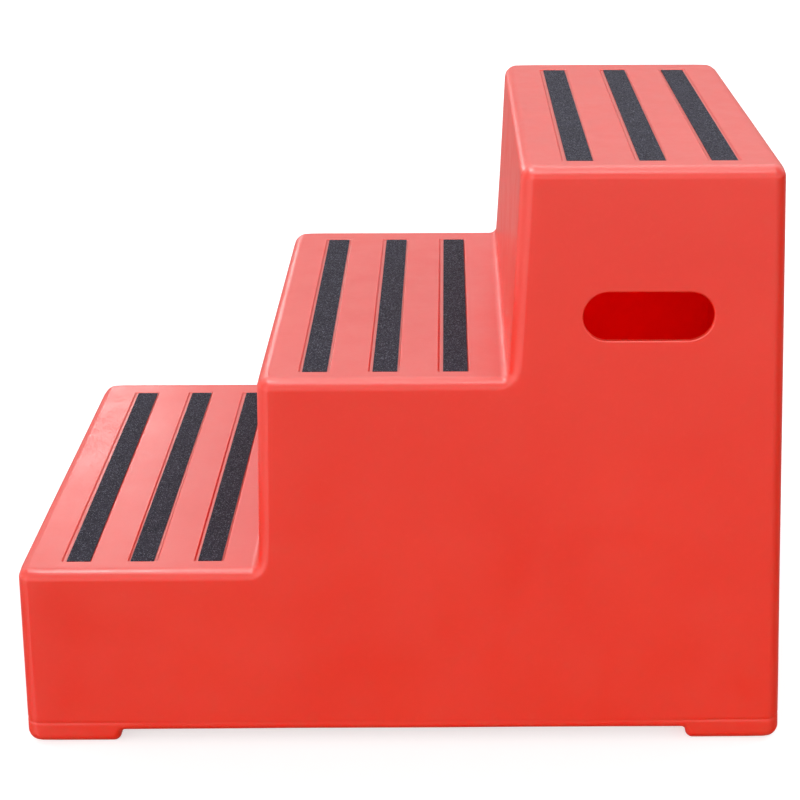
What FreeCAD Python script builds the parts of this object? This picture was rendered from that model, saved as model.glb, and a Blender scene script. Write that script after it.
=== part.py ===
import FreeCAD, Part
import math
import os

# Three-tread mounting block for riders: one hollow rotationally moulded
# polyethylene shell, with three abrasive grip strips stuck into moulded
# channels in each tread. Millimetres, +Z up.
# +X points up the stairs, from the front of the lowest tread to the back wall.
# The origin is on the floor, at the middle of the footprint.

os.makedirs("parts", exist_ok=True)

# Envelope, measured where the walls would meet the floor.
LENGTH = 820.4
WIDTH = 494.6
HEIGHT = 635.0
TREADS = 3
RISE = HEIGHT / TREADS

# Every wall leans inwards as it rises, so that the moulding leaves its mould.
FRONT_DRAFT = math.radians(3.0)
RISER_DRAFT = math.radians(2.35)
BACK_DRAFT = math.radians(3.73)
SIDE_DRAFT = math.radians(2.6)

# X of the front edge of the second and third treads, before rounding.
RISER_NOSE_X = {2: -139.7, 3: 118.4}

# Roundings of the outside of the moulding.
NOSE_RADIUS = 12.5
SIDE_RADIUS = 12.0
INNER_CORNER_RADIUS = 8.0
SOLE_RADIUS = 11.5

WALL = 6.5

# A cross-shaped gap under the block leaves four hollow corner feet. Their inner
# faces lean, and meet the underside in a soft root.
UNDERSIDE_Z = 15.3
FOOT_LENGTH = 101.5
FOOT_WIDTH = 101.5
FOOT_DRAFT = math.radians(14.0)
FOOT_CORNER_RADIUS = 10.0
FOOT_ROOT_RADIUS = 5.0
GAP_RIM_RADIUS = 8.0

# Stadium-shaped hand hole through each side wall, under the top tread.
HAND_HOLE_LENGTH = 126.5
HAND_HOLE_HEIGHT = 49.0
HAND_HOLE_X = 244.5
HAND_HOLE_Z = 488.4
HAND_HOLE_LIP = 2.0

# Grip strips and the shallow channels that they lie in.
STRIPS_PER_TREAD = 3
STRIP_WIDTH = 24.5
STRIP_THICKNESS = 1.2
STRIP_CORNER_RADIUS = 1.5
STRIP_PITCH = 69.4
# Distance from each tread's front edge to its first strip, lowest tread first.
STRIP_SETBACK = (47.9, 45.2, 44.3)
STRIP_LENGTH = (418.5, 398.0, 374.5)
# The channels lie a little off the middle of the treads.
STRIP_MIDDLE_Y = -4.0
# Room on a channel's floor in front of, behind and past the ends of its strip.
CHANNEL_FRONT_GAP = 3.0
CHANNEL_REAR_GAP = 1.0
CHANNEL_END_GAP = 0.3
CHANNEL_DEPTH = 1.5
CHANNEL_WALL_LEAN = math.radians(45.0)
CHANNEL_CORNER_RADIUS = 2.5
CHANNEL_LIP_RADIUS = 1.4
CHANNEL_FLOOR_RADIUS = 1.2

TREAD_NAMES = ("lower_tread", "middle_tread", "top_tread")
STRIP_NAMES = ("front", "middle", "rear")

# Anything this large reaches past the whole moulding.
BEYOND = 1000.0
# How far a tool runs past the face that it trims.
OVERRUN = 1.0
# How closely two coordinates agree when an edge is looked up, and the looser
# fit for an edge that curves around a rim.
MATCH = 0.01
RIM_SLACK = 0.1
# An upright edge runs for at least this share of the shape's height.
UPRIGHT_SHARE = 0.9
X_AXIS = FreeCAD.Vector(1, 0, 0)
Y_AXIS = FreeCAD.Vector(0, 1, 0)


def tread_z(tread, inset=0.0):
    return tread * RISE - inset


def front_x(z, inset=0.0):
    return -LENGTH / 2 + z * math.tan(FRONT_DRAFT) + inset / math.cos(FRONT_DRAFT)


def riser_x(tread, z, inset=0.0):
    lean = (tread_z(tread) - z) * math.tan(RISER_DRAFT)
    return RISER_NOSE_X[tread] - lean + inset / math.cos(RISER_DRAFT)


def back_x(z, inset=0.0):
    return LENGTH / 2 - z * math.tan(BACK_DRAFT) - inset / math.cos(BACK_DRAFT)


def side_y(z, inset=0.0):
    return WIDTH / 2 - z * math.tan(SIDE_DRAFT) - inset / math.cos(SIDE_DRAFT)


def box(x_range, y_range, z_range):
    low = FreeCAD.Vector(x_range[0], y_range[0], z_range[0])
    high = FreeCAD.Vector(x_range[1], y_range[1], z_range[1])
    size = high - low
    return Part.makeBox(size.x, size.y, size.z, low)


def prism(points, direction):
    """A polygon pushed out by direction; the polygon's first point isn't repeated."""
    wire = Part.makePolygon(points + [points[0]])
    return Part.Face(wire).extrude(direction)


def side_prism(outline):
    """A side outline of (x, z) points, pushed out across more than the whole width."""
    points = [FreeCAD.Vector(x, -BEYOND, z) for x, z in outline]
    return prism(points, Y_AXIS * 2 * BEYOND)


def between_side_walls(floor_z, top_z, inset):
    """The space between the two leaning side walls."""
    low = side_y(floor_z, inset)
    high = side_y(top_z, inset)
    corners = ((-low, floor_z), (low, floor_z), (high, top_z), (-high, top_z))
    points = [FreeCAD.Vector(-BEYOND, y, z) for y, z in corners]
    return prism(points, X_AXIS * 2 * BEYOND)


def runs_across(edge):
    """True for an edge parallel to Y."""
    first = edge.Vertexes[0].Point
    last = edge.Vertexes[-1].Point
    return abs(first.x - last.x) < MATCH and abs(first.z - last.z) < MATCH


def at_z(edge, z):
    bounds = edge.BoundBox
    return abs(bounds.ZMin - z) < MATCH and abs(bounds.ZMax - z) < MATCH


def is_inner_corner(edge, inset):
    """True for the edge where a riser stands on the tread below it."""
    point = edge.Vertexes[0].Point
    for tread in RISER_NOSE_X:
        foot_z = tread_z(tread - 1, inset)
        foot_x = riser_x(tread, foot_z, inset)
        if abs(point.z - foot_z) < MATCH and abs(point.x - foot_x) < MATCH:
            return True
    return False


def stepped_body(floor_z, inset, nose, side, inner_corner, base):
    """The flight of treads as a solid with rounded edges, inset from the outside."""
    outline = [(front_x(floor_z, inset), floor_z)]
    outline.append((front_x(tread_z(1, inset), inset), tread_z(1, inset)))
    for tread in RISER_NOSE_X:
        foot_z = tread_z(tread - 1, inset)
        nose_z = tread_z(tread, inset)
        outline.append((riser_x(tread, foot_z, inset), foot_z))
        outline.append((riser_x(tread, nose_z, inset), nose_z))
    top_z = tread_z(TREADS, inset)
    outline.append((back_x(top_z, inset), top_z))
    outline.append((back_x(floor_z, inset), floor_z))
    body = side_prism(outline)

    across = [edge for edge in body.Edges if runs_across(edge) and not at_z(edge, floor_z)]
    noses = [edge for edge in across if not is_inner_corner(edge, inset)]
    body = body.makeFillet(nose, noses)
    inner = [edge for edge in body.Edges if runs_across(edge) and is_inner_corner(edge, inset)]
    body = body.makeFillet(inner_corner, inner)

    body = body.common(between_side_walls(floor_z, top_z + OVERRUN, inset))
    flanks = []
    for edge in body.Edges:
        points = [edge.valueAt(t) for t in (edge.FirstParameter, edge.LastParameter)]
        on_side = all(abs(abs(p.y) - side_y(p.z, inset)) < MATCH for p in points)
        if on_side and not at_z(edge, floor_z) and not runs_across(edge):
            flanks.append(edge)
    body = body.makeFillet(side, flanks)
    rim = [edge for edge in body.Edges if at_z(edge, floor_z)]
    return body.makeFillet(base, rim)


def upright_edges(shape):
    edges = []
    for edge in shape.Edges:
        if edge.BoundBox.ZLength > UPRIGHT_SHARE * shape.BoundBox.ZLength:
            edges.append(edge)
    return edges


def foot_gap(top_z, margin):
    """The cross-shaped space between the feet, up to top_z, grown by margin."""
    low_z = -OVERRUN

    def reach(half_length, z):
        return half_length - z * math.tan(FOOT_DRAFT) + margin / math.cos(FOOT_DRAFT)

    def reach_x(z):
        return reach(LENGTH / 2 - FOOT_LENGTH, z)

    def reach_y(z):
        return reach(WIDTH / 2 - FOOT_WIDTH, z)

    def section(half_width):
        low = half_width(low_z)
        high = half_width(top_z)
        return ((-low, low_z), (low, low_z), (high, top_z), (-high, top_z))

    across = side_prism(section(reach_x))
    along = prism([FreeCAD.Vector(-BEYOND, y, z) for y, z in section(reach_y)], X_AXIS * 2 * BEYOND)
    cross = joined(across, along).removeSplitter()

    def at_crossing(point):
        off_x = abs(abs(point.x) - reach_x(point.z))
        off_y = abs(abs(point.y) - reach_y(point.z))
        return off_x < MATCH and off_y < MATCH

    corners = [edge for edge in cross.Edges if all(at_crossing(v.Point) for v in edge.Vertexes)]
    cross = cross.makeFillet(FOOT_CORNER_RADIUS - margin, corners)
    roots = []
    for edge in cross.Edges:
        bounds = edge.BoundBox
        at_end = max(bounds.XMin, bounds.YMin) > BEYOND - MATCH
        at_end = at_end or min(bounds.XMax, bounds.YMax) < MATCH - BEYOND
        if at_z(edge, top_z) and not at_end:
            roots.append(edge)
    return cross.makeFillet(FOOT_ROOT_RADIUS + margin, roots)


def strip_x(tread, index):
    """Lowest X of a grip strip. tread counts from 1, index from 0."""
    nose_x = front_x(tread_z(1)) if tread == 1 else riser_x(tread, tread_z(tread))
    return nose_x + STRIP_SETBACK[tread - 1] + index * STRIP_PITCH


def strip_plan(tread, index):
    """X and Y ranges of a grip strip."""
    low_x = strip_x(tread, index)
    half_length = STRIP_LENGTH[tread - 1] / 2
    y_range = (STRIP_MIDDLE_Y - half_length, STRIP_MIDDLE_Y + half_length)
    return (low_x, low_x + STRIP_WIDTH), y_range


def channel_plan(tread, index, rise, margin=0.0):
    """X and Y ranges of a channel at a height above its floor, grown by margin."""
    x_range, y_range = strip_plan(tread, index)
    flare = rise * math.tan(CHANNEL_WALL_LEAN) + margin
    low_x = x_range[0] - CHANNEL_FRONT_GAP - flare
    high_x = x_range[1] + CHANNEL_REAR_GAP + flare
    low_y = y_range[0] - CHANNEL_END_GAP - flare
    high_y = y_range[1] + CHANNEL_END_GAP + flare
    return (low_x, high_x), (low_y, high_y)


def channel_cutter(tread, index):
    """The tool that sinks a channel into a tread, with leaning walls and soft floor edges."""
    floor_z = tread_z(tread) - CHANNEL_DEPTH
    top_z = tread_z(tread) + OVERRUN
    low = channel_plan(tread, index, 0.0)
    high = channel_plan(tread, index, top_z - floor_z)

    def section(low_range, high_range):
        corners = [(low_range[0], floor_z), (low_range[1], floor_z)]
        return corners + [(high_range[1], top_z), (high_range[0], top_z)]

    lengthwise = side_prism(section(low[0], high[0]))
    points = [FreeCAD.Vector(-BEYOND, y, z) for y, z in section(low[1], high[1])]
    cutter = lengthwise.common(prism(points, X_AXIS * 2 * BEYOND))
    cutter = cutter.makeFillet(CHANNEL_CORNER_RADIUS, upright_edges(cutter))
    floor_edges = [edge for edge in cutter.Edges if at_z(edge, floor_z)]
    return cutter.makeFillet(CHANNEL_FLOOR_RADIUS, floor_edges)


def channel_backing(tread, index):
    """The wall that follows a channel on the inside of the moulding."""
    x_range, y_range = channel_plan(tread, index, CHANNEL_DEPTH, WALL)
    bottom_z = tread_z(tread) - CHANNEL_DEPTH - WALL
    return box(x_range, y_range, (bottom_z, tread_z(tread)))


def strip_places():
    """Every strip as (tread, index)."""
    treads = range(1, TREADS + 1)
    return [(tread, index) for tread in treads for index in range(STRIPS_PER_TREAD)]


def hand_hole_cutter():
    """A stadium-shaped bar along Y, through both side walls."""
    radius = HAND_HOLE_HEIGHT / 2
    straight = HAND_HOLE_LENGTH / 2 - radius
    low_z = HAND_HOLE_Z - radius
    high_z = HAND_HOLE_Z + radius
    left = HAND_HOLE_X - straight
    right = HAND_HOLE_X + straight

    def point(x, z):
        return FreeCAD.Vector(x, -BEYOND, z)

    edges = [
        Part.makeLine(point(left, low_z), point(right, low_z)),
        Part.Arc(
            point(right, low_z), point(right + radius, HAND_HOLE_Z), point(right, high_z)
        ).toShape(),
        Part.makeLine(point(right, high_z), point(left, high_z)),
        Part.Arc(
            point(left, high_z), point(left - radius, HAND_HOLE_Z), point(left, low_z)
        ).toShape(),
    ]
    return Part.Face(Part.Wire(edges)).extrude(Y_AXIS * 2 * BEYOND)


def rounded_loops(body, belongs, radius):
    """Rounds the edges of body for which belongs(edge) is true."""
    return body.makeFillet(radius, [edge for edge in body.Edges if belongs(edge)])


def on_channel_rim(edge):
    """True for an edge of a channel's mouth, in the flat of a tread."""
    bounds = edge.BoundBox
    for tread, index in strip_places():
        if not at_z(edge, tread_z(tread)):
            continue
        x_range, y_range = channel_plan(tread, index, CHANNEL_DEPTH)
        in_x = x_range[0] - RIM_SLACK < bounds.XMin and bounds.XMax < x_range[1] + RIM_SLACK
        in_y = y_range[0] - RIM_SLACK < bounds.YMin and bounds.YMax < y_range[1] + RIM_SLACK
        if in_x and in_y:
            return True
    return False


def on_hand_hole_rim(edge):
    """True for an edge around a hand hole, on the outer or inner face of a side wall."""
    bounds = edge.BoundBox
    low_x = HAND_HOLE_X - HAND_HOLE_LENGTH / 2 - RIM_SLACK
    high_x = HAND_HOLE_X + HAND_HOLE_LENGTH / 2 + RIM_SLACK
    low_z = HAND_HOLE_Z - HAND_HOLE_HEIGHT / 2 - RIM_SLACK
    high_z = HAND_HOLE_Z + HAND_HOLE_HEIGHT / 2 + RIM_SLACK
    if bounds.XMin < low_x or bounds.XMax > high_x or bounds.ZMin < low_z or bounds.ZMax > high_z:
        return False
    return bounds.YLength < HAND_HOLE_HEIGHT * math.tan(SIDE_DRAFT) + RIM_SLACK


def joined(first, second):
    """The union of two solids that overlap."""
    union = first.fuse(second)
    if len(union.Solids) != 1 or union.Volume <= max(first.Volume, second.Volume):
        raise ValueError("a union lost part of the moulding")
    return union


def on_surface(edge, shape):
    """True for an edge whose middle lies on the skin of a solid."""
    middle = edge.valueAt((edge.FirstParameter + edge.LastParameter) / 2)
    return shape.Shells[0].distToShape(Part.Vertex(middle))[0] < MATCH


def standing_block():
    """The outside of the moulding, on its four feet, before the channels and holes."""
    block = stepped_body(0.0, 0.0, NOSE_RADIUS, SIDE_RADIUS, INNER_CORNER_RADIUS, SOLE_RADIUS)
    gap = foot_gap(UNDERSIDE_Z, 0.0)
    standing = block.cut(gap)

    def on_gap_rim(edge):
        low_down = edge.BoundBox.ZMax < UNDERSIDE_Z + MATCH
        return low_down and on_surface(edge, block) and on_surface(edge, gap)

    return rounded_loops(standing, on_gap_rim, GAP_RIM_RADIUS)


def body_shell():
    """The hollow moulding: walls, treads, underside and feet in one piece."""
    outside = standing_block()
    for tread, index in strip_places():
        outside = outside.cut(channel_cutter(tread, index))
    outside = rounded_loops(outside, on_channel_rim, CHANNEL_LIP_RADIUS)

    inside = stepped_body(
        WALL,
        WALL,
        NOSE_RADIUS - WALL,
        SIDE_RADIUS - WALL,
        INNER_CORNER_RADIUS + WALL,
        SOLE_RADIUS - WALL,
    )
    inside = inside.cut(foot_gap(UNDERSIDE_Z + WALL, WALL))
    for tread, index in strip_places():
        inside = inside.cut(channel_backing(tread, index))

    shell = outside.cut(inside)
    shell = shell.cut(hand_hole_cutter())
    return rounded_loops(shell, on_hand_hole_rim, HAND_HOLE_LIP)


def grip_strip(tread, index):
    """An abrasive strip lying on the floor of its channel."""
    x_range, y_range = strip_plan(tread, index)
    floor_z = tread_z(tread) - CHANNEL_DEPTH
    strip = box(x_range, y_range, (floor_z, floor_z + STRIP_THICKNESS))
    return strip.makeFillet(STRIP_CORNER_RADIUS, upright_edges(strip))


def export(shape, node):
    """Writes one node. Every node is one solid, and none has a sealed void in it."""
    if len(shape.Solids) != 1 or len(shape.Shells) != 1 or not shape.isValid():
        raise ValueError(node + " is not one sound solid")
    solid = shape.Solids[0]
    solid.exportStep("parts/" + node + ".step")
    bounds = solid.BoundBox
    print(
        node,
        "volume cm3 %.1f" % (solid.Volume / 1000.0),
        "x %.1f %.1f" % (bounds.XMin, bounds.XMax),
        "y %.1f %.1f" % (bounds.YMin, bounds.YMax),
        "z %.1f %.1f" % (bounds.ZMin, bounds.ZMax),
    )


export(body_shell(), "body_shell")
for tread, index in strip_places():
    name = TREAD_NAMES[tread - 1] + "_grip_" + STRIP_NAMES[index]
    export(grip_strip(tread, index), name)
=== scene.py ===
import math

import bmesh
import bpy
import numpy as np
from mathutils import Matrix, Vector, noise


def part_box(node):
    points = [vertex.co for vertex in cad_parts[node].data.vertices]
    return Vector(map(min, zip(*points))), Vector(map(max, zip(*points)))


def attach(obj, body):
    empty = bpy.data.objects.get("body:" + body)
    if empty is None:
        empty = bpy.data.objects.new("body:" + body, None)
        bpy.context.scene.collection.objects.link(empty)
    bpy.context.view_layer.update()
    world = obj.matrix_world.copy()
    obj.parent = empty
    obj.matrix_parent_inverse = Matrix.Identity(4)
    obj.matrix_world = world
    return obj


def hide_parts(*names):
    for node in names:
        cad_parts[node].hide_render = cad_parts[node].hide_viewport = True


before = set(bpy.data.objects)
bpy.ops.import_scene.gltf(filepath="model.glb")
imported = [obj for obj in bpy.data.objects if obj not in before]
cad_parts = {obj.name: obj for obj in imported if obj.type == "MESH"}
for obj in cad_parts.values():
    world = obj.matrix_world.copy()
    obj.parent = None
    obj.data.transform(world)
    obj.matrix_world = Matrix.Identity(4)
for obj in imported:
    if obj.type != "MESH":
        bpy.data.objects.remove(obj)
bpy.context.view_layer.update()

# A three-tread mounting block: one red rotationally moulded shell with nine
# abrasive grip strips lying in moulded channels. Metres, in the CAD frame:
# +X up the stairs, +Y across them away from the camera, +Z up.

X, Y, Z = range(3)
MM = 0.001
TREADS = ("lower_tread", "middle_tread", "top_tread")
PLACES = ("front", "middle", "rear")

# ---------------------------------------------------------------- camera ----

# The photograph's camera: place, heading to the right of +Y, pitch down, roll,
# lens and sensor in mm and the shift of the cropped frame.
CAMERA_PLACE = (0.0510, -1.5869, 1.0401)
CAMERA_YAW = math.radians(0.33)
CAMERA_PITCH = math.radians(25.02)
CAMERA_ROLL = math.radians(-0.10)
CAMERA_LENS = 68.45
CAMERA_SENSOR = 36.0
CAMERA_SHIFT = (-0.07125, -0.004)
CAMERA_CLIP_END = 60.0

# ----------------------------------------------------------------- shell ----

# Points closer together than this are one.
MERGE_DISTANCE = 2e-6
# Slices of the flat faces, so that they can carry the moulding's waviness.
SLICE_STEP = 17 * MM
# Faces in one plane, by the cosine between their normals, form a region. A
# region this large is a flat panel and keeps its normal up to its edge.
ONE_PLANE_COSINE = 0.999999
PANEL_AREA = 3e-4
# Inside a panel, only the slices stay: other edges this flat are dissolved.
DISSOLVE_ANGLE = math.radians(0.5)
SHARP_ANGLE = math.radians(42)
# What Blender's weighted normals call a strong and a weak face.
STRONG_FACE = 16384
WEAK_FACE = -16384

# The waviness in mm: its mean, and a slow and a quick noise with their scales.
WAVE_MEAN = 0.24
WAVE_SLOW, SLOW_SCALE = 0.17, 6.5
WAVE_QUICK, QUICK_SCALE = 0.05, 19.0
QUICK_OFFSET = Vector((9.1, 3.3, 5.7))

# The parting line of the mould, around the foot of the walls. Between the feet,
# nearer the middle than FEET_X, only a share of its depth is left.
PARTING_Z = 27.5 * MM
PARTING_DEPTH = 0.7 * MM
PARTING_WIDTH = 1.9 * MM
PARTING_SLICE = 1.3 * MM
SLICES_EACH_SIDE = 4
DEPTH_BETWEEN_FEET = 0.2
FEET_X = (0.26, 0.33)
# The normal of an outer wall rises or falls no more than this.
WALL_NORMAL_Z = 0.4

# The upright corners of the walls are rounder than the CAD model's.
CORNER_RADIUS_CAD = 12 * MM
CORNER_RADIUS = 18 * MM
CORNER_REACH = 34 * MM
CORNER_FLARE = 28 * MM
FRONT_DRAFT = math.radians(3.0)
RISER_DRAFT = math.radians(2.35)
BACK_DRAFT = math.radians(3.73)
SIDE_DRAFT = math.radians(2.6)
# The height at which the leaning walls start above the rounded soles, and how
# far each riser's front edge lies before the first strip of its tread.
WALL_FOOT_Z = 12.1 * MM
NOSE_BEFORE_STRIP = {"middle_tread": 45.2 * MM, "top_tread": 44.3 * MM}

# Base colours: red plastic at its deepest, at its palest and in its specks.
DEEP_RED = (0.735, 0.031, 0.012, 1)
PALE_RED = (0.755, 0.039, 0.017, 1)
SPECK_RED = (0.79, 0.055, 0.028, 1)

# ---------------------------------------------------------------- strips ----

# How each strip was laid by hand: shift in X of its far and near end, in mm.
HAND_LAID = {
    "lower_tread": ((0.0, 0.8), (0.3, -1.75), (0.9, -0.3)),
    "middle_tread": ((-0.9, -0.7), (0.1, -0.1), (0.7, 0.9)),
    "top_tread": ((-0.1, 0.6), (0.5, 0.35), (-1.3, -0.6)),
}
# The relief: the spacing of its points and how far they stray from their grid.
GRIT_STEP = 0.75 * MM
GRIT_JITTER = 0.22 * GRIT_STEP
# In mm: the resin lies below the CAD model's top face, and grains stand on it,
# their heights drawn from a gamma distribution and cut off at a limit.
RESIN_BELOW_TOP = 0.30
GRAIN_SHAPE, GRAIN_SPREAD = 2.0, 0.5
GRAIN_HEIGHT = 0.11
GRAIN_LIMIT = 0.45
# The channel's waviness is worked out for one point in this many.
WAVINESS_STRIDE = 7
# Each strip draws its grit from a seed of its own.
FIRST_SEED = 100
SEEDS_PER_TREAD = 10

# Base colours: dark resin at its darkest and at its palest, and bright grains.
DARK_RESIN = (0.011, 0.010, 0.018, 1)
PALE_RESIN = (0.019, 0.017, 0.030, 1)
BRIGHT_GRAIN = (0.15, 0.15, 0.20, 1)

# ---------------------------------------------------------------- studio ----

WHITE = (1, 1, 1, 1)
# Half the floor's width, and the backdrop's radius and its segments around and
# from pole to pole.
FLOOR_HALF = 9.0
BACKDROP_RADIUS = 9.5
BACKDROP_SEGMENTS = (48, 24)
# Each zone of the sky: its level, and the fades along X, Y or Z of the
# direction that it is multiplied by: (axis, where it starts, where it is full).
SKY_ZONES = {
    "back_low": (0.56, (Y, 0.1, 0.8), (Z, -0.05, 0.05), (Z, 0.55, 0.25)),
    "back_high": (2.15, (Y, 0.0, 0.5), (Z, 0.25, 0.5), (Z, 0.9, 0.6)),
    "zenith": (0.20, (Z, 0.55, 0.85)),
    "back_floor": (0.38, (Y, 0.2, 0.8), (Z, 0.05, -0.1)),
    "front_low": (1.83, (Y, -0.1, -0.8), (Z, -0.05, 0.1), (Z, 0.6, 0.3)),
    "front_high": (1.00, (Y, 0.0, -0.4), (Z, 0.3, 0.6), (Z, 0.95, 0.65)),
    "front_floor": (1.20, (Y, -0.2, -0.7), (Z, 0.1, -0.1), (Z, -0.5, -0.1)),
    "below": (0.02, (Z, -0.1, -0.6)),
    "left": (1.00, (X, -0.2, -0.9), (Z, -0.1, 0.1)),
    "left_front": (
        0.75, (X, -0.3, -0.6), (X, -0.95, -0.75), (Y, -0.1, -0.5), (Z, 0.6, 0.3)
    ),
    "left_floor": (1.30, (X, -0.6, -0.9), (Z, 0.05, -0.1), (Z, -0.45, -0.3)),
    "right": (0.75, (X, 0.2, 0.9), (Z, -0.1, 0.1)),
}
# Softboxes that only show in reflections: place, target, size and watts.
SOFTBOXES = {
    "edge_softbox": ((0.0, -1.1, 2.3), (0.0, -0.2, 0.4), (2.2, 0.5), 20.0),
    "overhead_panel": ((0.0, 0.25, 2.4), (0.0, 0.25, 0.0), (2.4, 3.0), 74.0),
    "corner_glint": ((-0.93, -0.15, 2.54), (0.1, -0.24, 0.63), (0.35, 0.35), 24.0),
    "nose_strip": ((-0.95, 2.2, 1.05), (0.1, 0.0, 0.6), (0.4, 0.5), 4.0),
}
# Daylight that the thin wall lets into the hollow.
GLOW_PLACE = (0.245, 0.0, 0.30)
GLOW_RADIUS = 0.06
GLOW_COLOR = (1.0, 0.003, 0.012)
GLOW_WATTS = 0.76


# ------------------------------------------------------------- materials ----

class Nodes:
    """A short way to write a material's node tree."""

    def __init__(self, name):
        self.material = bpy.data.materials.new(name)
        self.material.use_nodes = True
        self.tree = self.material.node_tree
        self.tree.nodes.clear()
        self.shader = self.add("ShaderNodeBsdfPrincipled")
        output = self.add("ShaderNodeOutputMaterial")
        self.feed(output, "Surface", (self.shader, "BSDF"))

    def add(self, kind, **settings):
        """A new node with the given settings."""
        node = self.tree.nodes.new(kind)
        for key, value in settings.items():
            setattr(node, key, value)
        return node

    def feed(self, node, socket, value):
        """Sets a socket to a number or colour, or links it to a (node, output) pair."""
        target = node.inputs[socket]
        if isinstance(value, tuple) and hasattr(value[0], "outputs"):
            self.tree.links.new(value[0].outputs[value[1]], target)
        else:
            target.default_value = value

    def shade(self, socket, value):
        """Feeds a socket of the material's shader."""
        self.feed(self.shader, socket, value)

    def texture(self, kind, scale):
        """A texture that is fixed to the object's own space."""
        node = self.add(kind)
        self.feed(node, "Vector", (self.add("ShaderNodeTexCoord"), "Object"))
        self.feed(node, "Scale", scale)
        return node

    def noise(self, scale, detail, roughness):
        """The value of a noise texture."""
        node = self.texture("ShaderNodeTexNoise", scale)
        self.feed(node, "Detail", detail)
        self.feed(node, "Roughness", roughness)
        return node, 0

    def ramp(self, source, low, high, to_low=0.0, to_high=1.0):
        """Goes from to_low to to_high as the source goes from low to high."""
        node = self.add("ShaderNodeMapRange")
        self.feed(node, "Value", source)
        self.feed(node, "From Min", low)
        self.feed(node, "From Max", high)
        self.feed(node, "To Min", to_low)
        self.feed(node, "To Max", to_high)
        return node, 0

    def mix(self, factor, a, b):
        """A colour between a and b. The node's colour sockets come after its others."""
        node = self.add("ShaderNodeMix", data_type="RGBA")
        self.feed(node, 0, factor)
        self.feed(node, 6, a)
        self.feed(node, 7, b)
        return node, 2

    def bump(self, height, distance, strength, before=None):
        """The normal of a relief, on top of another one if that is given."""
        node = self.add("ShaderNodeBump")
        self.feed(node, "Strength", strength)
        self.feed(node, "Distance", distance)
        self.feed(node, "Height", height)
        if before is not None:
            self.feed(node, "Normal", before)
        return node, "Normal"


def shell_material():
    """Satin red polyethylene: pooled pigment, specks, patchy gloss, orange peel."""
    n = Nodes("red_polyethylene")
    pool = n.ramp(n.noise(7.0, 3.0, 0.55), 0.3, 0.7)
    speck = n.ramp(n.noise(160.0, 2.0, 0.6), 0.55, 0.8, 0.0, 0.25)
    n.shade("Base Color", n.mix(speck, n.mix(pool, DEEP_RED, PALE_RED), SPECK_RED))
    n.shade("Roughness", n.ramp(n.noise(22.0, 4.0, 0.6), 0.3, 0.7, 0.31, 0.41))
    n.shade("IOR", 1.55)
    n.shade("Subsurface Weight", 1.0)
    n.shade("Subsurface Radius", (1.0, 0.05, 0.03))
    n.shade("Subsurface Scale", 0.006)
    peel = n.bump(n.noise(330.0, 2.0, 0.5), 0.12 * MM, 0.5)
    n.shade("Normal", n.bump(n.noise(1500.0, 2.0, 0.6), 0.03 * MM, 0.5, peel))
    return n.material


def grit_material():
    """Mineral grit in dark resin: near black, blue-grey, a few bright grains."""
    n = Nodes("mineral_grit_tape")
    grain = n.texture("ShaderNodeTexVoronoi", 1250.0)
    draw = n.add("ShaderNodeSeparateColor")
    n.feed(draw, "Color", (grain, "Color"))
    cloud = n.ramp(n.noise(60.0, 3.0, 0.6), 0.3, 0.7)
    bright = n.ramp((draw, "Red"), 0.86, 1.0, 0.0, 0.9)
    resin = n.mix(cloud, DARK_RESIN, PALE_RESIN)
    n.shade("Base Color", n.mix(bright, resin, BRIGHT_GRAIN))
    n.shade("Roughness", n.ramp((draw, "Green"), 0.0, 1.0, 0.45, 0.95))
    n.shade("Specular IOR Level", 0.1)
    n.shade("Normal", n.bump((grain, "Distance"), 0.3 * MM, 0.6))
    return n.material


def floor_material():
    """A pale floor, partly its own light, so that only a soft contact shadow shows."""
    n = Nodes("studio_floor")
    n.shade("Base Color", (0.6, 0.6, 0.6, 1))
    n.shade("Emission Color", WHITE)
    n.shade("Emission Strength", 0.6)
    n.shade("Roughness", 0.9)
    n.shade("Specular IOR Level", 0.2)
    return n.material


def backdrop_material():
    """Plain white, from its own light alone."""
    n = Nodes("studio_backdrop")
    n.shade("Base Color", (0.0, 0.0, 0.0, 1))
    n.shade("Emission Color", WHITE)
    n.shade("Emission Strength", 1.0)
    n.shade("Specular IOR Level", 0.0)
    return n.material


# ----------------------------------------------------------------- pieces ----

def new_object(name, data):
    """A new object in the scene."""
    item = bpy.data.objects.new(name, data)
    bpy.context.scene.collection.objects.link(item)
    return item


def waviness(point):
    """How far the moulding has drawn in at a point, in metres: 0 to about 0.5 mm."""
    slow = noise.noise(Vector(point) * SLOW_SCALE)
    quick = noise.noise(Vector(point) * QUICK_SCALE + QUICK_OFFSET)
    return (WAVE_MEAN + WAVE_SLOW * slow + WAVE_QUICK * quick) * MM


def smooth_step(value, low, high):
    """0 below low, 1 above high, smooth in between."""
    t = min(1.0, max(0.0, (value - low) / (high - low)))
    return t * t * (3 - 2 * t)


def corner_depth(offset, radius):
    """A rounded corner's distance from its sharp tip, at an offset from its bisector."""
    if abs(offset) >= radius / math.sqrt(2):
        return abs(offset)
    return radius * math.sqrt(2) - math.sqrt(radius * radius - offset * offset)


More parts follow.
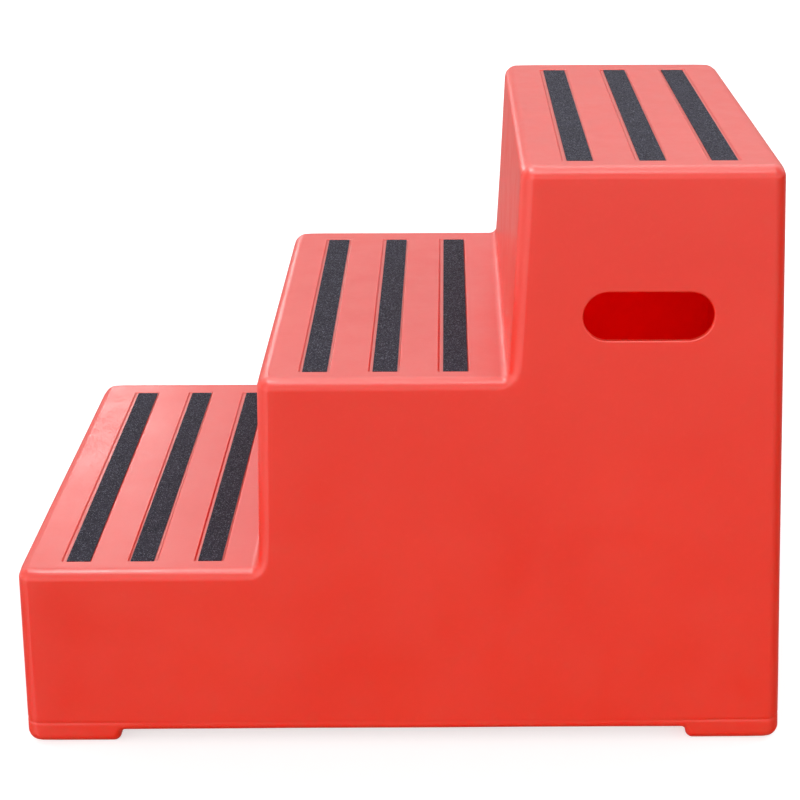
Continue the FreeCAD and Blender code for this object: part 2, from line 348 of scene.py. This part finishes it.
class Walls:
    """The leaning walls of the shell, worked out from the CAD boxes."""

    def __init__(self):
        low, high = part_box("body_shell")
        self.rise = high.z / len(TREADS)
        self.side = high.y + WALL_FOOT_Z * math.tan(SIDE_DRAFT)
        front = low.x - WALL_FOOT_Z * math.tan(FRONT_DRAFT)
        back = high.x + WALL_FOOT_Z * math.tan(BACK_DRAFT)
        self.corners = [self.corner(front, 0.0, FRONT_DRAFT, -1, 0, 1)]
        for number, tread in enumerate(TREADS[1:], start=1):
            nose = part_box(tread + "_grip_front")[0].x - NOSE_BEFORE_STRIP[tread]
            head = self.rise * (number + 1)
            self.corners.append(
                self.corner(nose, head, RISER_DRAFT, -1, number, number + 1)
            )
        self.corners.append(self.corner(back, 0.0, -BACK_DRAFT, 1, 0, len(TREADS)))

    def corner(self, x, at_z, draft, outward, first, last):
        """A corner: its end wall's line and slope, its outward sign and its z range."""
        return x, at_z, math.tan(draft), outward, self.rise * first, self.rise * last

    def inset_y(self, y, z):
        """How far a point lies in from the side wall beside it."""
        return self.side - z * math.tan(SIDE_DRAFT) - abs(y)

    def softened(self, point):
        """A point of the shell, moved in towards the rounder corner beside it."""
        x, y, z = point
        for wall_x, at_z, slope, outward, foot_z, head_z in self.corners:
            in_x = -outward * (x - wall_x - (z - at_z) * slope)
            in_y = self.inset_y(y, z)
            if not (foot_z - MM < z < head_z + MM) or max(in_x, in_y) > CORNER_REACH:
                continue
            if min(in_x, in_y) < -MM:
                continue
            offset = (in_x - in_y) / math.sqrt(2)
            present = corner_depth(offset, CORNER_RADIUS_CAD)
            push = corner_depth(offset, CORNER_RADIUS) - present
            behind = (in_x + in_y) / math.sqrt(2) - present
            push *= 1.0 - smooth_step(behind, 0.0, CORNER_REACH)
            if foot_z > 0.0:
                push *= smooth_step(z, foot_z + MM, foot_z + CORNER_FLARE)
            move = push / math.sqrt(2)
            return Vector((x - outward * move, y - math.copysign(move, y), z))
        return Vector((x, y, z))


def parting_groove(point, normal):
    """Depth of the mould's parting line at a point of an outer wall."""
    outward = point.x * normal.x + point.y * normal.y
    if abs(normal.z) > WALL_NORMAL_Z or outward < 0.0:
        return 0.0
    along = (point.z - PARTING_Z) / PARTING_WIDTH
    near_feet = smooth_step(abs(point.x), *FEET_X)
    share = DEPTH_BETWEEN_FEET + (1 - DEPTH_BETWEEN_FEET) * near_feet
    return PARTING_DEPTH * share * math.exp(-along * along * 2.0)


def slice_mesh(bm, axis, low, high, step):
    """Cuts the mesh by evenly spaced planes and marks the cuts as seams."""
    normal = [0.0, 0.0, 0.0]
    normal[axis] = 1.0
    count = max(1, round((high - low) / step))
    for i in range(1, count):
        point = [0.0, 0.0, 0.0]
        point[axis] = low + (high - low) * i / count
        cut = bmesh.ops.bisect_plane(
            bm,
            geom=bm.verts[:] + bm.edges[:] + bm.faces[:],
            plane_co=point,
            plane_no=normal,
            dist=MERGE_DISTANCE,
        )
        for item in cut["geom_cut"]:
            if isinstance(item, bmesh.types.BMEdge):
                item.seam = True


def slice_shell(bm):
    """Slices the shell all over, and more finely along the parting line."""
    low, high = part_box("body_shell")
    for axis in (X, Y, Z):
        slice_mesh(bm, axis, low[axis], high[axis], SLICE_STEP)
    reach = SLICES_EACH_SIDE * PARTING_SLICE
    slice_mesh(bm, Z, PARTING_Z - reach, PARTING_Z + reach, PARTING_SLICE)


def panel_flags(bm):
    """Marks the faces of large flat regions with 1 in a face layer called panel."""
    layer = bm.faces.layers.int.new("panel")
    bm.normal_update()
    seen = set()
    for face in bm.faces:
        if face.index in seen:
            continue
        seen.add(face.index)
        region = [face]
        for member in region:
            for edge in member.edges:
                for other in edge.link_faces:
                    cosine = other.normal.dot(face.normal)
                    if other.index not in seen and cosine > ONE_PLANE_COSINE:
                        seen.add(other.index)
                        region.append(other)
        if sum(member.calc_area() for member in region) > PANEL_AREA:
            for member in region:
                member[layer] = 1
    return layer


def clear_panels(bm, panel):
    """Dissolves the edges inside the panels, apart from the slices' cuts."""
    inner = [
        edge for edge in bm.edges
        if not edge.seam and all(face[panel] for face in edge.link_faces)
    ]
    bmesh.ops.dissolve_limit(
        bm, angle_limit=DISSOLVE_ANGLE, edges=inner, verts=[], delimit={"SEAM"}
    )


def moulded_shell():
    """The shell, finely sliced, with rounder corners, waviness and a parting line."""
    bm = bmesh.new()
    bm.from_mesh(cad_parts["body_shell"].data)
    bmesh.ops.remove_doubles(bm, verts=bm.verts, dist=MERGE_DISTANCE)
    bm.faces.index_update()
    panel = panel_flags(bm)
    slice_shell(bm)
    for face in bm.faces:
        face.smooth = True
    clear_panels(bm, panel)
    bm.normal_update()
    for edge in bm.edges:
        edge.seam = False
        if len(edge.link_faces) == 2 and edge.calc_face_angle(0.0) > SHARP_ANGLE:
            edge.smooth = False
    walls = Walls()
    for vert in bm.verts:
        draw_in = waviness(vert.co) + parting_groove(vert.co, vert.normal)
        vert.co = walls.softened(vert.co) - vert.normal * draw_in
    mesh = bpy.data.meshes.new("moulded_shell")
    bm.to_mesh(mesh)
    strength = [STRONG_FACE if face[panel] else WEAK_FACE for face in bm.faces]
    bm.free()
    weights = mesh.attributes.new("__mod_weightednormals_faceweight", "INT", "FACE")
    weights.data.foreach_set("value", strength)
    mesh.materials.append(shell_material())

    piece = new_object("moulded_shell", mesh)
    shading = piece.modifiers.new("normals", "WEIGHTED_NORMAL")
    shading.mode = "FACE_AREA_WITH_ANGLE"
    shading.keep_sharp = True
    shading.use_face_influence = True
    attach(piece, "root")
    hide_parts("body_shell")


def grip_strip(tread, place, seed, material):
    """One strip of grit tape: a thin plate with a rough top and cut edges."""
    node = tread + "_grip_" + place
    low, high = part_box(node)
    across = round((high.x - low.x) / GRIT_STEP)
    along = round((high.y - low.y) / GRIT_STEP)
    grid_x, grid_y = np.meshgrid(
        np.linspace(low.x, high.x, across + 1),
        np.linspace(low.y, high.y, along + 1),
        indexing="ij",
    )
    shape = grid_x.shape
    count = grid_x.size

    # The top: laid slightly out of line, grainy, and as wavy as the channel.
    far, near = HAND_LAID[tread][PLACES.index(place)]
    way = (grid_y - low.y) / (high.y - low.y)
    lay = (near + (far - near) * way) * MM
    inner = np.zeros(shape, bool)
    inner[1:-1, 1:-1] = True
    rng = np.random.default_rng(seed)
    stray_x = np.where(inner, rng.uniform(-GRIT_JITTER, GRIT_JITTER, shape), 0.0)
    stray_y = np.where(inner, rng.uniform(-GRIT_JITTER, GRIT_JITTER, shape), 0.0)
    grains = rng.gamma(GRAIN_SHAPE, GRAIN_SPREAD, shape)
    relief = np.clip(grains * GRAIN_HEIGHT, 0.0, GRAIN_LIMIT) * MM
    sparse = slice(None, None, WAVINESS_STRIDE)
    sink = [
        waviness((x, y, high.z))
        for x, y in zip(grid_x.ravel()[sparse], grid_y.ravel()[sparse])
    ]
    sink = np.repeat(sink, WAVINESS_STRIDE)[:count].reshape(shape)
    top_x = grid_x + lay + stray_x
    top_y = grid_y + stray_y
    top_z = high.z - RESIN_BELOW_TOP * MM + relief - sink
    top = np.stack([top_x.ravel(), top_y.ravel(), top_z.ravel()], 1)

    # The rim of the top, repeated on the channel's floor.
    index = np.arange(count).reshape(shape)
    rim = np.concatenate(
        [index[:, 0], index[-1, 1:], index[-2::-1, -1], index[0, -2:0:-1]]
    )
    bottom = top[rim].copy()
    bottom[:, 2] = low.z - sink.ravel()[rim]
    base = count + np.arange(len(rim))

    quads = [index[:-1, :-1], index[1:, :-1], index[1:, 1:], index[:-1, 1:]]
    faces = np.stack([corner.ravel() for corner in quads], 1).tolist()
    sides = [np.roll(rim, -1), rim, base, np.roll(base, -1)]
    faces += np.stack(sides, 1).tolist()
    faces.append(base[::-1].tolist())
    mesh = bpy.data.meshes.new("grit_" + node)
    mesh.from_pydata(np.concatenate([top, bottom]).tolist(), [], faces)
    mesh.materials.append(material)

    piece = new_object("grit_" + node, mesh)
    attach(piece, "root")
    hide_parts(node)


# ----------------------------------------------------------------- studio ----

def stage_piece(name, mesh, material):
    """A floor or backdrop that only the camera sees."""
    piece = new_object(name, mesh)
    mesh.materials.append(material)
    piece.visible_diffuse = False
    piece.visible_glossy = False
    piece.visible_transmission = False
    piece.visible_shadow = False


def floor():
    """A wide square at the height of the soles."""
    mesh = bpy.data.meshes.new("floor")
    half = FLOOR_HALF
    corners = [(-half, -half, 0), (half, -half, 0), (half, half, 0), (-half, half, 0)]
    mesh.from_pydata(corners, [], [(0, 1, 2, 3)])
    stage_piece("floor", mesh, floor_material())


def backdrop():
    """A dome around everything, which hides the sky's zones from the camera."""
    around, upward = BACKDROP_SEGMENTS
    dome = bmesh.new()
    bmesh.ops.create_uvsphere(
        dome, u_segments=around, v_segments=upward, radius=BACKDROP_RADIUS
    )
    mesh = bpy.data.meshes.new("backdrop")
    dome.to_mesh(mesh)
    dome.free()
    stage_piece("backdrop", mesh, backdrop_material())


def sky():
    """A soft sky of a few broad zones, which lights the block."""
    world = bpy.data.worlds.new("studio")
    bpy.context.scene.world = world
    world.use_nodes = True
    tree = world.node_tree
    direction = tree.nodes.new("ShaderNodeTexCoord").outputs["Generated"]
    split = tree.nodes.new("ShaderNodeSeparateXYZ")
    tree.links.new(direction, split.inputs[0])

    def calculate(operation, a, b):
        node = tree.nodes.new("ShaderNodeMath")
        node.operation = operation
        for socket, value in zip(node.inputs, (a, b)):
            if isinstance(value, float):
                socket.default_value = value
            else:
                tree.links.new(value, socket)
        return node.outputs[0]

    def fade(axis, low, high):
        node = tree.nodes.new("ShaderNodeMapRange")
        node.interpolation_type = "SMOOTHSTEP"
        node.inputs["From Min"].default_value = low
        node.inputs["From Max"].default_value = high
        tree.links.new(split.outputs[axis], node.inputs["Value"])
        return node.outputs[0]

    total = 0.0
    for zone, *fades in SKY_ZONES.values():
        for item in fades:
            zone = calculate("MULTIPLY", zone, fade(*item))
        total = calculate("ADD", total, zone)
    background = tree.nodes["Background"]
    background.inputs["Color"].default_value = WHITE
    tree.links.new(total, background.inputs["Strength"])


def softbox(name, place, target, size, watts):
    """A rectangular lamp that only shows in reflections."""
    light = bpy.data.lights.new(name, "AREA")
    light.shape = "RECTANGLE"
    light.size, light.size_y = size
    light.energy = watts
    lamp = new_object(name, light)
    lamp.visible_camera = False
    lamp.visible_diffuse = False
    lamp.location = place
    aim = Vector(target) - Vector(place)
    lamp.rotation_euler = aim.to_track_quat("-Z", "Y").to_euler()


def glow_in_hollow():
    """A red lamp inside the shell, seen only through the hand holes."""
    light = bpy.data.lights.new("glow_in_hollow", "POINT")
    light.energy = GLOW_WATTS
    light.color = GLOW_COLOR
    light.shadow_soft_size = GLOW_RADIUS
    lamp = new_object("glow_in_hollow", light)
    lamp.visible_camera = False
    lamp.visible_glossy = False
    lamp.location = GLOW_PLACE


def camera():
    """The photograph's camera, turned by its heading, pitch and roll."""
    data = bpy.data.cameras.new("camera")
    data.lens = CAMERA_LENS
    data.sensor_width = CAMERA_SENSOR
    data.shift_x, data.shift_y = CAMERA_SHIFT
    data.clip_end = CAMERA_CLIP_END
    eye = new_object("camera", data)
    forward = Vector((
        math.sin(CAMERA_YAW) * math.cos(CAMERA_PITCH),
        math.cos(CAMERA_YAW) * math.cos(CAMERA_PITCH),
        -math.sin(CAMERA_PITCH),
    ))
    level = forward.cross(Vector((0, 0, 1))).normalized()
    upward = level.cross(forward)
    right = level * math.cos(CAMERA_ROLL) + upward * math.sin(CAMERA_ROLL)
    up = upward * math.cos(CAMERA_ROLL) - level * math.sin(CAMERA_ROLL)
    turn = Matrix((right, up, -forward)).transposed()
    eye.matrix_world = Matrix.Translation(CAMERA_PLACE) @ turn.to_4x4()
    bpy.context.scene.camera = eye


camera()
moulded_shell()
grit = grit_material()
for row, tread in enumerate(TREADS):
    for column, place in enumerate(PLACES):
        grip_strip(tread, place, FIRST_SEED + SEEDS_PER_TREAD * row + column, grit)
floor()
backdrop()
sky()
for name, setup in SOFTBOXES.items():
    softbox(name, *setup)
glow_in_hollow()
bpy.context.scene.view_settings.view_transform = "Standard"
